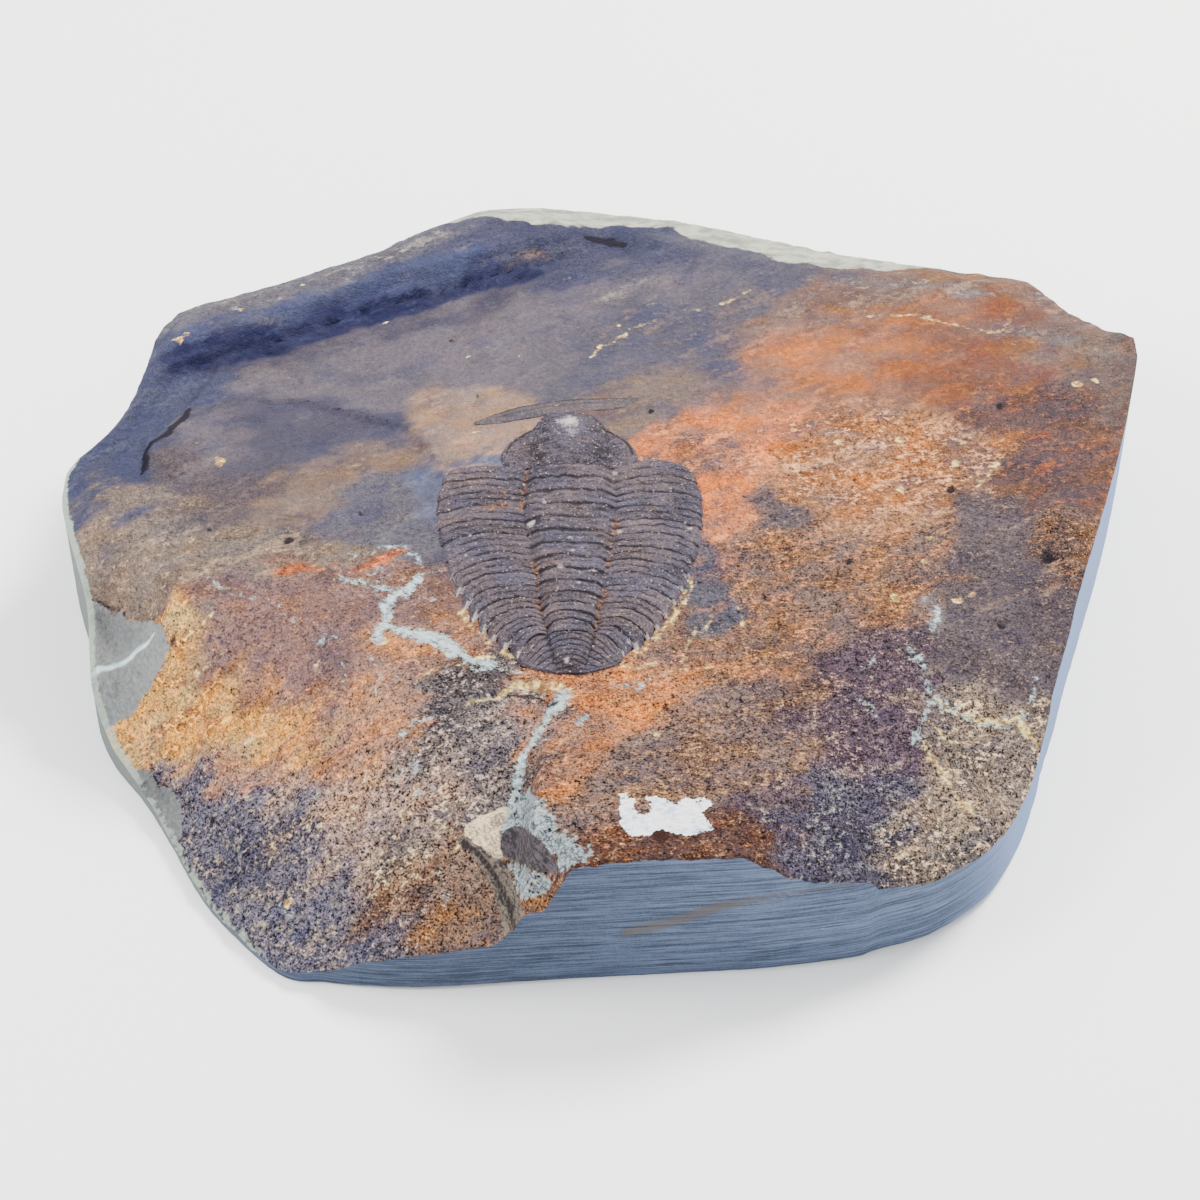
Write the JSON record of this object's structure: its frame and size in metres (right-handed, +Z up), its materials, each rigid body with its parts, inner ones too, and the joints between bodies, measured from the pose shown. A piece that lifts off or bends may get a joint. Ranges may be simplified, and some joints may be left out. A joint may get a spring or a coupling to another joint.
{
  "type": "trilobite fossil in a stone slab",
  "caption": "Whole trilobite with a loose head rim, lying on the bedding plane of a sawn and broken slab of rusty shale.",
  "frame": {"origin": "on the sawn underside, below the middle of the slab's bounding box", "axes": "+Z up out of the bedding plane, +Y from the animal's tail to its head, +X to its right as seen from above"},
  "size_m": [0.1622, 0.1435, 0.0273],
  "materials": {
    "rusty_shale": "dull, iron stained bedding plane, sawn grey sides",
    "brown_shell": "dull dark brown mineralised shell",
    "border_shell": "dull brown mineralised shell"
  },
  "bodies": {
    "root": {"matrix_slab": "rusty_shale", "thorax": "brown_shell", "cranidium": "brown_shell", "pygidium": "brown_shell", "front_border": "border_shell"}
  },
  "joints": []
}
